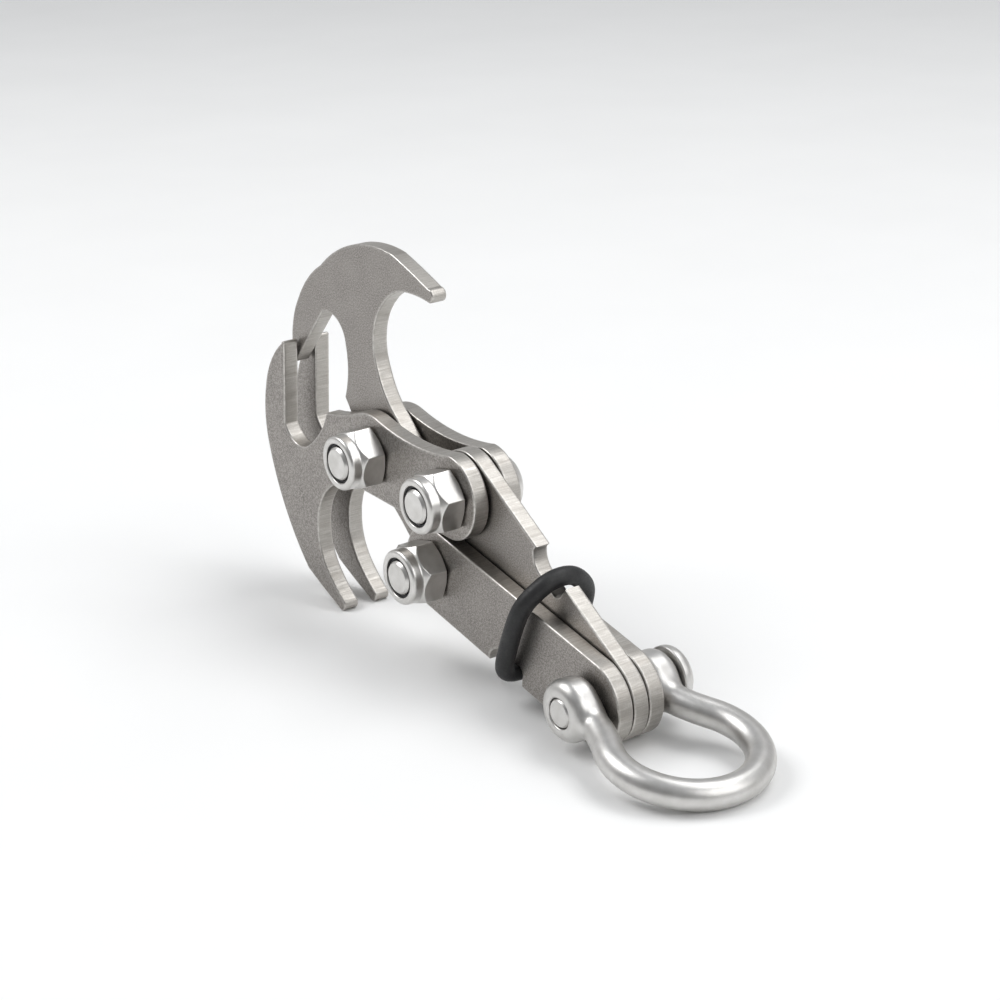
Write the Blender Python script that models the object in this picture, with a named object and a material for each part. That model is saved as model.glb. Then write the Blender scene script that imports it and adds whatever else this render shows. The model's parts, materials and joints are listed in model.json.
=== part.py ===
"""Folding grapnel hook: two mirrored claws on a scissor linkage, with a rubber ring and a bow shackle.

Five flat-plate pieces form a kite. The claws cross at the main pivot, each claw's arm carries a
link, and the links meet on the shackle pin. Plate faces are normal to Y, and the hook stands on
its lower claw tips and on the crown of the shackle.
"""

from math import asin, atan2, cos, degrees, hypot, pi, radians, sin, sqrt

import bmesh
import bpy
from mathutils import Vector

MM = 0.001

# Linkage, in millimetres and degrees
ARM = 23.5                 # main pivot to link pivot
LINK = 44.5                # link pivot to shackle pin
HALF_SPREAD = 20.0         # arm angle from the hook's axis when closed
AXIS_TILT = -23.15          # hook's axis below level, seen from the front

# Plates
PLATE = 3.0
MIDDLE_FACE = PLATE / 2
CLAW_GAP = 0.4             # claw cheek to middle plate, each side
LINK_GAP = 0.2             # link cheek to middle plate, each side
ARM_HALF = 7.5             # half width of arms and links
HOLE_R = 3.15
OPEN_HOLE_R = 4.0          # middle link's hole at the upper pivot, where the linkage is open
RIM_BEVEL = 0.35
ARC_STEP = 2.0             # longest facet along a curved edge

# Pivot bolts, nuts and washers
BOLT_R = 3.0
HEAD_R = 5.4
HEAD_H = 3.2
SOCKET_FLATS = 4.0
SOCKET_DEPTH = 1.7
NUT_FLATS = 10.0
NUT_HEX_H = 4.6
NUT_H = 6.8
COLLAR_R = 4.9
COLLAR_MOUTH_R = 3.55
INSERT_R = 4.1
BOLT_END = 7.1             # how far a bolt's end stands off the plate it clamps
WASHER_R = 6.0
WASHER = 0.2
SEAT_GAP = 0.1             # clearance left under heads, nuts and washers
ROUND_SIDES = 24

# Shackle
BAR_R = 2.5
BOW_R = 12.0               # crown radius at the bar's centre
BOW_CENTRE = 17.9          # pin to crown centre
BOW_SPREAD = 118.0         # half angle of the round crown
EAR_Y = 7.3                # bar's centre where it leaves an ear
LEG_START = 5.5            # how far the leg's curve keeps level with the ear
LEG_END = 3.0              # how far it keeps in line with the crown
EAR_IN = 5.2
EAR_OUT = 11.0
EAR_R = 5.3
PIN_R = 2.45
PIN_HOLE_R = 2.6
PIN_HEAD_R = 5.1
PIN_HEAD_IN = 11.3
PIN_HEAD_OUT = BOW_R + BAR_R
BAR_SIDES = 14

# Rubber ring
RING_R = 1.45
RING_FROM_PIN = 18.4       # along the hook's axis
RING_CLEAR = 0.15
RING_SIDES = 12
NOTCH_FLOOR = 4.2          # from a link's centre line


def unit(angle):
    """Direction in the XZ plane at an angle in degrees."""
    return Vector((cos(radians(angle)), sin(radians(angle))))


LINK_ANGLE = degrees(asin(ARM * sin(radians(HALF_SPREAD)) / LINK))
REACH = ARM * cos(radians(HALF_SPREAD)) + LINK * cos(radians(LINK_ANGLE))

# Pivots seen along +Y, from the main pivot
UPPER_PIVOT = ARM * unit(AXIS_TILT + HALF_SPREAD)
LOWER_PIVOT = ARM * unit(AXIS_TILT - HALF_SPREAD)
SHACKLE_PIVOT = REACH * unit(AXIS_TILT)

CLAW_CHEEK = MIDDLE_FACE + CLAW_GAP
LINK_CHEEK = MIDDLE_FACE + LINK_GAP


# ---------------------------------------------------------------- outlines

def arc_points(start, through, end):
    """Points after start on the arc through three points, ending at end."""
    ax, ay = start
    bx, by = through
    cx, cy = end
    d = 2 * (ax * (by - cy) + bx * (cy - ay) + cx * (ay - by))
    a2, b2, c2 = ax * ax + ay * ay, bx * bx + by * by, cx * cx + cy * cy
    ux = (a2 * (by - cy) + b2 * (cy - ay) + c2 * (ay - by)) / d
    uy = (a2 * (cx - bx) + b2 * (ax - cx) + c2 * (bx - ax)) / d
    radius = hypot(ax - ux, ay - uy)
    first = atan2(ay - uy, ax - ux)
    turn = (atan2(cy - uy, cx - ux) - first) % (2 * pi)
    middle = (atan2(by - uy, bx - ux) - first) % (2 * pi)
    if middle > turn:
        turn -= 2 * pi
    steps = max(3, int(abs(turn) * radius / ARC_STEP + 0.5), int(abs(turn) / radians(15) + 0.5))
    return [(ux + radius * cos(first + turn * i / steps),
             uy + radius * sin(first + turn * i / steps)) for i in range(1, steps + 1)]


def outline(start, *moves):
    """Closed outline: each move is an end point, or a point to pass and an end point."""
    points = [start]
    for move in moves:
        if len(move) == 2 and isinstance(move[0], tuple):
            points += arc_points(points[-1], move[0], move[1])
        else:
            points.append(move)
    return points[:-1]


def claw_outline(back):
    """Claw plate about its main pivot: arm along +x, rear hook towards +y.

    back is the point that the rear hook's outer edge bulges through.
    """
    return outline(
        (-27.8, -13.2),
        ((-32.1, -9.0), (-34.8, -2.2)),                     # front claw, outer edge
        ((-35.25, 3.2), (-34.1, 9.2)),
        (back, (-21.5, 29.6)),                              # back of the rear hook
        ((-15.9, 32.0), (-11.4, 33.72)),
        ((-9.6, 33.7), (-9.5, 32.2)),                       # rear hook's tip
        ((-12.4, 30.1), (-15.1, 27.5)),                     # rear hook's throat
        ((-17.1, 24.0), (-17.7, 20.3)),
        ((-16.3, 14.1), (-10.9, 9.3)),
        ((-6.8, 7.8), (-2.0, ARM_HALF)),
        (ARM, ARM_HALF),
        ((ARM + ARM_HALF, 0.0), (ARM, -ARM_HALF)),          # round end at the link pivot
        ((12.5, -6.2), (2.2, -7.3)),
        ((-0.5, -7.5), (-4.2, -6.6)),
        ((-9.6, -4.6), (-14.0, -3.6)),
        ((-16.6, 1.1), (-20.1, 4.4)),                       # front claw's mouth
        ((-25.4, 5.4), (-28.3, 2.8)),
        (-27.8, -13.2),
    )


def link_outline():
    """Link plate about the shackle pin: +x towards the claw, ring notch on the +y edge."""
    half = ARM_HALF
    return outline(
        (0.0, -half),
        (LINK, -half),
        ((LINK + half, 0.0), (LINK, half)),
        (26.0, half),
        (26.2, 6.6),
        ((24.8, 4.8), (22.6, NOTCH_FLOOR)),
        (18.2, NOTCH_FLOOR),
        ((17.3, 4.9), (17.1, 6.0)),
        (16.9, half),
        (0.0, half),
        ((-half, 0.0), (0.0, -half)),
    )


UPPER_CLAW = claw_outline(back=(-29.35, 21.95))
LOWER_CLAW = claw_outline(back=(-28.4, 21.2))


def placed(points, pivot, angle, flip):
    """Outline points turned to an angle, flipped across their x axis if asked, and moved."""
    along = unit(angle)
    across = Vector((-along.y, along.x)) * (-1 if flip else 1)
    return [pivot + along * x + across * y for x, y in points]


UPPER_CLAW_XZ = placed(UPPER_CLAW, Vector((0, 0)), AXIS_TILT - HALF_SPREAD, False)
LOWER_CLAW_XZ = placed(LOWER_CLAW, Vector((0, 0)), AXIS_TILT + HALF_SPREAD, True)
UPPER_LINK_XZ = placed(link_outline(), SHACKLE_PIVOT, AXIS_TILT - LINK_ANGLE + 180, True)
LOWER_LINK_XZ = placed(link_outline(), SHACKLE_PIVOT, AXIS_TILT + LINK_ANGLE + 180, False)

# The hook stands on the lower claw tips and on the shackle's crown
STAND = -min(p.y for p in LOWER_CLAW_XZ)
PIN_HEIGHT = STAND + SHACKLE_PIVOT.y
BOW_REACH = BOW_CENTRE + BOW_R
BOW_DROOP = degrees(asin((PIN_HEIGHT - BAR_R) / BOW_REACH))
FRONT_X = min(p.x for p in UPPER_CLAW_XZ + LOWER_CLAW_XZ)
CROWN_X = SHACKLE_PIVOT.x + BOW_REACH * cos(radians(BOW_DROOP)) + BAR_R
ORIGIN_X = -(FRONT_X + CROWN_X) / 2


def world(point, y=0.0):
    """Metres in the world for a point in the plates' plane and a depth along Y."""
    return Vector((ORIGIN_X + point.x, y, STAND + point.y)) * MM


# ---------------------------------------------------------------- scene helpers

def clear_scene():
    for item in list(bpy.data.objects):
        bpy.data.objects.remove(item, do_unlink=True)


def material(name, colour, roughness, metallic):
    made = bpy.data.materials.new(name)
    made.use_nodes = True
    shader = made.node_tree.nodes["Principled BSDF"]
    shader.inputs["Base Color"].default_value = (*colour, 1.0)
    shader.inputs["Roughness"].default_value = roughness
    shader.inputs["Metallic"].default_value = metallic
    return made


def add_object(name, mesh_builder, parent, origin, colour=(0.6, 0.58, 0.55), roughness=0.4, metallic=1.0):
    """Object from a bmesh made about its own origin, in millimetres."""
    mesh_builder.normal_update()
    bmesh.ops.scale(mesh_builder, vec=(MM, MM, MM), verts=mesh_builder.verts)
    mesh = bpy.data.meshes.new(name)
    mesh_builder.to_mesh(mesh)
    mesh_builder.free()
    made = bpy.data.objects.new(name, mesh)
    bpy.context.scene.collection.objects.link(made)
    mesh.materials.append(material(name, colour, roughness, metallic))
    if parent is not None:
        made.parent = parent
        made.location = origin - parent.location
    else:
        made.location = origin
    return made


def add_cutter(name, mesh_builder, parent, origin):
    made = add_object(name, mesh_builder, parent, origin)
    made.hide_render = True
    made.display_type = 'WIRE'
    return made


def axis_empty(name, point):
    made = bpy.data.objects.new(name, None)
    made.location = world(point)
    bpy.context.scene.collection.objects.link(made)
    return made


def boolean(target, tool, operation):
    modifier = target.modifiers.new(operation.title(), 'BOOLEAN')
    modifier.operation = operation
    modifier.solver = 'EXACT'
    modifier.object = tool


def bevel(target, width, angle=50, segments=1):
    modifier = target.modifiers.new("Bevel", 'BEVEL')
    modifier.width = width * MM
    modifier.segments = segments
    modifier.limit_method = 'ANGLE'
    modifier.angle_limit = radians(angle)


def smooth(target, angle=35):
    target.data.shade_smooth()
    target.data.set_sharp_from_angle(angle=radians(angle))


# ---------------------------------------------------------------- solids, in millimetres

def prism(points, low, high):
    """Solid with an outline in XZ, from y=low to y=high."""
    made = bmesh.new()
    face = made.faces.new([made.verts.new((x, low, z)) for x, z in points])
    extruded = bmesh.ops.extrude_face_region(made, geom=[face])
    lifted = [item for item in extruded["geom"] if isinstance(item, bmesh.types.BMVert)]
    bmesh.ops.translate(made, vec=(0, high - low, 0), verts=lifted)
    bmesh.ops.recalc_face_normals(made, faces=made.faces)
    return made


def turned(profile, sides, phase=0.0):
    """Solid turned about Y from a closed list of (radius, y); a radius of 0 is on the axis."""
    made = bmesh.new()
    rings = []
    for radius, y in profile:
        if radius == 0:
            rings.append([made.verts.new((0, y, 0))])
            continue
        rings.append([made.verts.new((radius * cos(phase + 2 * pi * i / sides), y,
                                      radius * sin(phase + 2 * pi * i / sides))) for i in range(sides)])
    for low, high in zip(rings, rings[1:] + rings[:1]):
        for i in range(sides):
            j = (i + 1) % sides
            corners = [low[i % len(low)], low[j % len(low)], high[j % len(high)], high[i % len(high)]]
            corners = list(dict.fromkeys(corners))
            if len(corners) > 2:
                made.faces.new(corners)
    bmesh.ops.recalc_face_normals(made, faces=made.faces)
    return made


def cylinder(radius, low, high, sides=ROUND_SIDES):
    return turned([(0, low), (radius, low), (radius, high), (0, high)], sides)


def hexagon(flats, low, high):
    corner = flats / sqrt(3)
    return prism([(corner * cos(pi / 6 + i * pi / 3), corner * sin(pi / 6 + i * pi / 3))
                  for i in range(6)], low, high)


def swept(path, radius, sides, closed):
    """Round bar along a path of points, its section turned with the path."""
    made = bmesh.new()
    count = len(path)
    rings = []
    normal = None
    for i, point in enumerate(path):
        before = path[i - 1] if closed or i else point
        after = path[(i + 1) % count] if closed or i < count - 1 else point
        along = (after - before).normalized()
        if normal is None:
            normal = along.orthogonal().normalized()
        normal = (normal - along * normal.dot(along)).normalized()
        across = along.cross(normal)
        rings.append([made.verts.new(point + radius * (normal * cos(2 * pi * k / sides)
                                                       + across * sin(2 * pi * k / sides)))
                      for k in range(sides)])
    pairs = list(zip(rings, rings[1:] + rings[:1])) if closed else list(zip(rings, rings[1:]))
    for low, high in pairs:
        for k in range(sides):
            j = (k + 1) % sides
            made.faces.new((low[k], low[j], high[j], high[k]))
    if not closed:
        made.faces.new(rings[0])
        made.faces.new(rings[-1])
    bmesh.ops.recalc_face_normals(made, faces=made.faces)
    return made


# ---------------------------------------------------------------- parts

def add_plate(name, points, pivot, faces, holes, parent):
    """Flat plate with pivot holes; pivot is the point its origin sits on."""
    low, high = faces
    local = [(p.x - pivot.x, p.y - pivot.y) for p in points]
    plate = add_object(name, prism(local, low, high), parent, world(pivot),
                       colour=(0.48, 0.45, 0.42), roughness=0.45)
    for number, (centre, radius) in enumerate(holes):
        drill = cylinder(radius, low - 1, high + 1)
        bmesh.ops.translate(drill, vec=(centre.x - pivot.x, 0, centre.y - pivot.y), verts=drill.verts)
        boolean(plate, add_cutter(f"{name}_drill_{number}", drill, parent, world(pivot)), 'DIFFERENCE')
    bevel(plate, RIM_BEVEL)
    return plate


def cheeks(face):
    """Near and far cheek plates' depths, for a plate face at this distance from the middle."""
    return {"near": (-face - PLATE, -face), "far": (face, face + PLATE)}


def bolt_profile(seat):
    """Domed head on the far side, shank to the near side, clamping plates of half depth seat."""
    head = seat + SEAT_GAP
    end = -seat - BOLT_END
    return [(0, end), (BOLT_R - 0.5, end), (BOLT_R, end + 0.5), (BOLT_R, head), (HEAD_R - 0.3, head),
            (HEAD_R, head + 0.3), (HEAD_R - 0.25, head + 1.2), (HEAD_R - 1.2, head + 2.3),
            (HEAD_R - 2.6, head + HEAD_H), (0, head + HEAD_H)]


def nut_profile(seat):
    """Turned limits of a locking nut: chamfered base, hexagon zone, collar with a rolled mouth."""
    base = -seat - SEAT_GAP
    corner = NUT_FLATS / sqrt(3) + 0.2
    groove_in, groove_out = NUT_HEX_H - 0.1, NUT_H - 0.5
    steps = [(HOLE_R, 0.0), (NUT_FLATS / 2 - 0.1, 0.0), (corner, 0.5), (corner, NUT_HEX_H - 0.5),
             (COLLAR_R + 0.1, NUT_HEX_H), (COLLAR_R, NUT_HEX_H + 0.1), (COLLAR_R, NUT_H - 0.5),
             (COLLAR_R - 0.45, NUT_H), (COLLAR_MOUTH_R, NUT_H), (COLLAR_MOUTH_R, groove_out),
             (INSERT_R + SEAT_GAP, groove_out), (INSERT_R + SEAT_GAP, groove_in), (HOLE_R, groove_in)]
    return [(radius, base - height) for radius, height in steps]


def add_pivot_set(prefix, pivot, cheek_face, parent):
    """Bolt, locking nut and nylon insert at one pivot."""
    seat = cheek_face + PLATE
    steel = dict(colour=(0.62, 0.61, 0.59), roughness=0.25)
    bolt = add_object(f"{prefix}_bolt", turned(bolt_profile(seat), ROUND_SIDES), parent, world(pivot), **steel)
    top = seat + SEAT_GAP + HEAD_H
    socket = hexagon(SOCKET_FLATS, top - SOCKET_DEPTH, top + 1)
    boolean(bolt, add_cutter(f"{prefix}_socket", socket, parent, world(pivot)), 'DIFFERENCE')
    smooth(bolt)

    nut = add_object(f"{prefix}_nut", turned(nut_profile(seat), ROUND_SIDES), parent, world(pivot), **steel)
    blank = hexagon(NUT_FLATS, -seat - NUT_H - 1, -seat + 1)
    boolean(nut, add_cutter(f"{prefix}_nut_blank", blank, parent, world(pivot)), 'INTERSECT')
    smooth(nut)

    low = -seat - SEAT_GAP - NUT_H + 0.5 + SEAT_GAP
    high = -seat - NUT_HEX_H - SEAT_GAP
    bore = BOLT_R + SEAT_GAP
    insert = turned([(bore, low), (INSERT_R, low), (INSERT_R, high), (bore, high)], ROUND_SIDES)
    smooth(add_object(f"{prefix}_insert", insert, parent, world(pivot),
                      colour=(0.03, 0.03, 0.035), roughness=0.5, metallic=0.0))


def add_washers(prefix, pivot, parent):
    """Thin washers that space the claw cheeks off the middle plate at one pivot."""
    for side, sign in (("near", -1), ("far", 1)):
        low = sign * (MIDDLE_FACE + (CLAW_GAP - WASHER) / 2)
        high = low + sign * WASHER
        washer = turned([(HOLE_R, low), (WASHER_R, low), (WASHER_R, high), (HOLE_R, high)], ROUND_SIDES)
        smooth(add_object(f"{prefix}_washer_{side}", washer, parent, world(pivot),
                          colour=(0.6, 0.6, 0.6), roughness=0.35))


def bow_path():
    """Centre line of the bow in the pin's frame: legs leave the ears level and flare into the round crown."""
    spread = radians(BOW_SPREAD)
    steps = 26
    crown = [(BOW_CENTRE + BOW_R * cos(a), BOW_R * sin(a))
             for a in (-spread + 2 * spread * i / steps for i in range(steps + 1))]
    end = Vector(crown[-1])
    bends = [Vector((0.0, EAR_Y)), Vector((LEG_START, EAR_Y)),
             end + LEG_END * Vector((-sin(spread), cos(spread))), end]
    leg = []
    for t in (i / 6 for i in range(6)):
        weights = ((1 - t) ** 3, 3 * t * (1 - t) ** 2, 3 * t * t * (1 - t), t ** 3)
        leg.append((sum(k * p.x for k, p in zip(weights, bends)), sum(k * p.y for k, p in zip(weights, bends))))
    flat = [(u, -v) for u, v in leg] + crown + leg[::-1]
    down = unit(-BOW_DROOP)
    return [Vector((down.x * u, v, down.y * u)) for u, v in flat]


def ear_profile(sign):
    """Rounded ear about the pin, flat on its inner and outer faces."""
    middle = (EAR_IN + EAR_OUT) / 2
    half = (EAR_OUT - EAR_IN) / 2
    steps = [(EAR_R - 1.0, -half), (EAR_R - 0.2, -half * 0.55), (EAR_R, 0.0), (EAR_R - 0.4, half * 0.45),
             (EAR_R - 1.2, half * 0.75), (EAR_R - 2.2, half)]
    return [(0, sign * (middle - half))] + [(r, sign * (middle + y)) for r, y in steps] + \
        [(0, sign * (middle + half))]


def add_shackle(parent):
    steel = dict(colour=(0.66, 0.65, 0.63), roughness=0.2)
    place = world(SHACKLE_PIVOT)
    bow = add_object("shackle_bow", swept(bow_path(), BAR_R, BAR_SIDES, False), parent, place, **steel)
    for side, sign in (("near", -1), ("far", 1)):
        ear = turned(ear_profile(sign), ROUND_SIDES)
        boolean(bow, add_cutter(f"shackle_ear_{side}", ear, parent, place), 'UNION')
    inner = prism([(-20, -20), (BAR_R, -20), (BAR_R, 20), (-20, 20)], -EAR_IN, EAR_IN)
    boolean(bow, add_cutter("shackle_jaw", inner, parent, place), 'DIFFERENCE')
    boolean(bow, add_cutter("shackle_bore", cylinder(PIN_HOLE_R, -20, 20), parent, place), 'DIFFERENCE')
    smooth(bow)

    profile = [(0, -EAR_OUT), (PIN_R - 0.4, -EAR_OUT), (PIN_R, -EAR_OUT + 0.4), (PIN_R, PIN_HEAD_IN),
               (PIN_HEAD_R - 0.4, PIN_HEAD_IN), (PIN_HEAD_R, PIN_HEAD_IN + 0.4),
               (PIN_HEAD_R - 0.1, PIN_HEAD_IN + 1.4), (PIN_HEAD_R - 0.9, PIN_HEAD_OUT - 1.0),
               (PIN_HEAD_R - 2.2, PIN_HEAD_OUT - 0.2), (0, PIN_HEAD_OUT)]
    smooth(add_object("shackle_pin", turned(profile, ROUND_SIDES), parent, place, **steel))


def ring_path():
    """Centre line of the stretched ring: an even offset round the plate corners it bears on."""
    sine, cosine = sin(radians(LINK_ANGLE)), cos(radians(LINK_ANGLE))
    along = RING_FROM_PIN / cosine
    tilt_rise = RING_R * sine / cosine
    floor = along * sine + NOTCH_FLOOR * cosine + tilt_rise
    shoulder = ARM_HALF / cosine - RING_FROM_PIN * sine / cosine + tilt_rise
    cheek = LINK_CHEEK + PLATE
    corners = [(cheek, -floor), (cheek, shoulder), (MIDDLE_FACE, floor),
               (-MIDDLE_FACE, floor), (-cheek, shoulder), (-cheek, -floor)]
    offset = RING_R + RING_CLEAR
    flat = []
    for i, (y, w) in enumerate(corners):
        before, after = corners[i - 1], corners[(i + 1) % len(corners)]
        start = atan2(-(y - before[0]), w - before[1])
        turn = (atan2(-(after[0] - y), after[1] - w) - start) % (2 * pi)
        steps = max(2, int(turn / radians(16)) + 1)
        for k in range(steps + 1):
            flat.append((y + offset * cos(start + turn * k / steps), w + offset * sin(start + turn * k / steps)))
    axis = unit(AXIS_TILT)
    across = Vector((-axis.y, axis.x))
    return [Vector((-axis.x * RING_FROM_PIN + across.x * w, y, -axis.y * RING_FROM_PIN + across.y * w))
            for y, w in flat]


def build():
    clear_scene()
    main = axis_empty("main_axis", Vector((0, 0)))
    lower = axis_empty("lower_link_axis", LOWER_PIVOT)
    shackle = axis_empty("shackle_axis", SHACKLE_PIVOT)

    origin = Vector((0, 0))
    add_plate("claw_plate_middle", UPPER_CLAW_XZ, LOWER_PIVOT, (-MIDDLE_FACE, MIDDLE_FACE),
              [(origin, HOLE_R), (LOWER_PIVOT, HOLE_R)], lower)
    for side, faces in cheeks(CLAW_CHEEK).items():
        add_plate(f"claw_plate_{side}", LOWER_CLAW_XZ, origin, faces,
                  [(origin, HOLE_R), (UPPER_PIVOT, HOLE_R)], main)
    for side, faces in cheeks(LINK_CHEEK).items():
        add_plate(f"link_plate_{side}", LOWER_LINK_XZ, LOWER_PIVOT, faces,
                  [(LOWER_PIVOT, HOLE_R), (SHACKLE_PIVOT, PIN_HOLE_R)], lower)
    add_plate("link_plate_middle", UPPER_LINK_XZ, SHACKLE_PIVOT, (-MIDDLE_FACE, MIDDLE_FACE),
              [(UPPER_PIVOT, OPEN_HOLE_R), (SHACKLE_PIVOT, PIN_HOLE_R)], shackle)

    add_pivot_set("main", origin, CLAW_CHEEK, main)
    add_pivot_set("upper", UPPER_PIVOT, CLAW_CHEEK, main)
    add_pivot_set("lower", LOWER_PIVOT, LINK_CHEEK, lower)
    add_washers("main", origin, main)
    add_washers("upper", UPPER_PIVOT, main)

    add_shackle(shackle)
    ring = add_object("lock_ring", swept(ring_path(), RING_R, RING_SIDES, True), shackle,
                      world(SHACKLE_PIVOT), colour=(0.02, 0.02, 0.02), roughness=0.6, metallic=0.0)
    smooth(ring)


build()
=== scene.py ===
"""Visual model of the folding grapnel hook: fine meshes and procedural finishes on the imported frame."""

import json
from math import acos, atan2, ceil, cos, hypot, pi, radians, sin, sqrt

import bmesh
import bpy
import numpy as np
from mathutils import Matrix, Vector
from mathutils.geometry import tessellate_polygon


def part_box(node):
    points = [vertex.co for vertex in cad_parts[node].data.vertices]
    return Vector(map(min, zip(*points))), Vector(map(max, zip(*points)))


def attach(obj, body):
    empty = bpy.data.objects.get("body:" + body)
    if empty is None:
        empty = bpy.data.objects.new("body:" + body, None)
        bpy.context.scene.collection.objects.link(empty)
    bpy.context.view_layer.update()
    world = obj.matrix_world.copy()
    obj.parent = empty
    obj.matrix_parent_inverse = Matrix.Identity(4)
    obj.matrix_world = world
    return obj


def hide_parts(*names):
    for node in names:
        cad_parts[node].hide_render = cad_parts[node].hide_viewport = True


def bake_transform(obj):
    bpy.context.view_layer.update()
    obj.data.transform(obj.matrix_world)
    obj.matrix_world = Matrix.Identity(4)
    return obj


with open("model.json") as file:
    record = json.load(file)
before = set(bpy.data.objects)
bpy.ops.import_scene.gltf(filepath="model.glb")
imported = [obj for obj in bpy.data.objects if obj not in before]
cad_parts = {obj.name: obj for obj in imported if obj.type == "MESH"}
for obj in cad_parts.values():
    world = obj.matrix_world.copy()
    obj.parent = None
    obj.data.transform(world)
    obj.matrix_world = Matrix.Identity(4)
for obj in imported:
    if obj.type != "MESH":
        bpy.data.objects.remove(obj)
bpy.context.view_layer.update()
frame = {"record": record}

MM = 0.001

# Plates, in millimetres as everything below
PLATE = 3.0
MIDDLE_FACE = PLATE / 2
CLAW_CHEEK = 1.9
LINK_CHEEK = 1.7
ARM = 23.5
LINK = 44.5
ARM_HALF = 7.5
HOLE_R = 3.15
OPEN_HOLE_R = 4.0
PIN_HOLE_R = 2.6
NOTCH_FLOOR = 4.2
CORNER_R = 0.25            # rounding along the rims
CORNER_BAND = 0.25         # flat strip kept beside each rounded rim, for clean shading
ARC_STEP = 0.4
HOLE_SIDES = 96

# Pivot hardware
BOLT_R = 3.0
HEAD_R = 5.4
HEAD_H = 3.2
HEAD_FLAT_R = 2.75         # flat rim left round the socket
SOCKET_FLATS = 4.0
SOCKET_DEPTH = 1.7
NUT_FLATS = 10.0
NUT_HEX_H = 4.6
NUT_H = 6.8
NUT_CHAMFER = 1.05         # how far the hexagon's corners are cut back
COLLAR_R = 4.9
COLLAR_MOUTH_R = 3.55
COLLAR_LIP = 0.5           # thickness of the collar's edge rolled over the insert
INSERT_R = 4.1
BOLT_END = 7.1
WASHER_R = 6.0
WASHER = 0.2
GAP = 0.1                  # clearance under a nut or head, and round a bolt or insert

# Shackle and ring
BAR_R = 2.5
BOW_R = 12.0
BOW_CENTRE = 17.9
BOW_SPREAD = radians(118.0)
EAR_Y = 7.3
LEG_START = 5.5
LEG_END = 3.0
EAR_IN = 5.2
EAR_OUT = 11.0
EAR_R = 5.3
EAR_EASE = 2.1             # rounding of the ears' rims
BOW_CELL = 0.25            # mesh size of the bow
PIN_R = 2.45
PIN_HEAD_R = 5.1
PIN_HEAD_IN = 11.3
PIN_HEAD_OUT = BOW_R + BAR_R
PIN_HEAD_EDGE = 0.8        # straight edge under the pin head's dome
DOME_STEPS = 14
RING_R = 1.6
RING_FROM_PIN = 18.4
RING_CLEAR = 0.15
RING_STEP = 0.5
RING_SIDES = 32
RING_EASE = 26             # smoothing passes that round off the ring's bends


# ---------------------------------------------------------------- pivots, from the frame

def joint_point(name):
    """A joint's place in the XZ plane, in millimetres."""
    for joint in frame["record"]["behaviour"]["joints"]:
        if joint["name"] == name:
            return np.array([joint["pos_m"][0], joint["pos_m"][2]]) / MM
    raise KeyError(name)


def direction(vector):
    return vector / np.linalg.norm(vector)


MAIN = joint_point("jaw_spread")
LOWER = joint_point("lower_link_swing")
SHACKLE = joint_point("shackle_swing")
AXIS = direction(SHACKLE - MAIN)
ACROSS = np.array([-AXIS[1], AXIS[0]])
UPPER = MAIN + 2 * AXIS * np.dot(LOWER - MAIN, AXIS) - (LOWER - MAIN)
LINK_ANGLE = acos(np.dot(direction(LOWER - SHACKLE), -AXIS))


# ---------------------------------------------------------------- outlines

def arc_points(start, through, end, step):
    """Points after start on the arc through three points, ending at end."""
    ax, ay = start
    bx, by = through
    cx, cy = end
    d = 2 * (ax * (by - cy) + bx * (cy - ay) + cx * (ay - by))
    a2, b2, c2 = ax * ax + ay * ay, bx * bx + by * by, cx * cx + cy * cy
    ux = (a2 * (by - cy) + b2 * (cy - ay) + c2 * (ay - by)) / d
    uy = (a2 * (cx - bx) + b2 * (ax - cx) + c2 * (bx - ax)) / d
    radius = hypot(ax - ux, ay - uy)
    first = atan2(ay - uy, ax - ux)
    turn = (atan2(cy - uy, cx - ux) - first) % (2 * pi)
    middle = (atan2(by - uy, bx - ux) - first) % (2 * pi)
    if middle > turn:
        turn -= 2 * pi
    steps = max(3, ceil(abs(turn) * radius / step), ceil(abs(turn) / radians(8)))
    return [(ux + radius * cos(first + turn * i / steps),
             uy + radius * sin(first + turn * i / steps)) for i in range(1, steps + 1)]


def outline(start, *moves):
    """Closed outline: each move is an end point, or a point to pass and an end point."""
    points = [start]
    for move in moves:
        if len(move) == 2 and isinstance(move[0], tuple):
            points += arc_points(points[-1], move[0], move[1], ARC_STEP)
        else:
            points.append(move)
    return np.array(points[:-1])


def claw_outline(back):
    """Claw plate about its main pivot: arm along +x, rear hook towards +y, blunted tips."""
    return outline(
        (-27.82, -12.4),
        ((-28.1, -12.98), (-28.75, -12.55)),
        ((-32.1, -9.0), (-34.8, -2.2)),
        ((-35.25, 3.2), (-34.1, 9.2)),
        (back, (-21.5, 29.6)),
        ((-15.9, 32.0), (-11.4, 33.72)),
        ((-9.6, 33.7), (-9.5, 32.2)),
        ((-12.4, 30.1), (-15.1, 27.5)),
        ((-17.1, 24.0), (-17.7, 20.3)),
        ((-16.3, 14.1), (-10.9, 9.3)),
        ((-6.8, 7.8), (-2.0, ARM_HALF)),
        (ARM, ARM_HALF),
        ((ARM + ARM_HALF, 0.0), (ARM, -ARM_HALF)),
        ((12.5, -6.2), (2.2, -7.3)),
        ((-0.5, -7.5), (-4.2, -6.6)),
        ((-9.6, -4.6), (-14.0, -3.6)),
        ((-16.6, 1.1), (-20.1, 4.4)),
        ((-25.4, 5.4), (-28.3, 2.8)),
        (-27.82, -12.4),
    )


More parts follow.
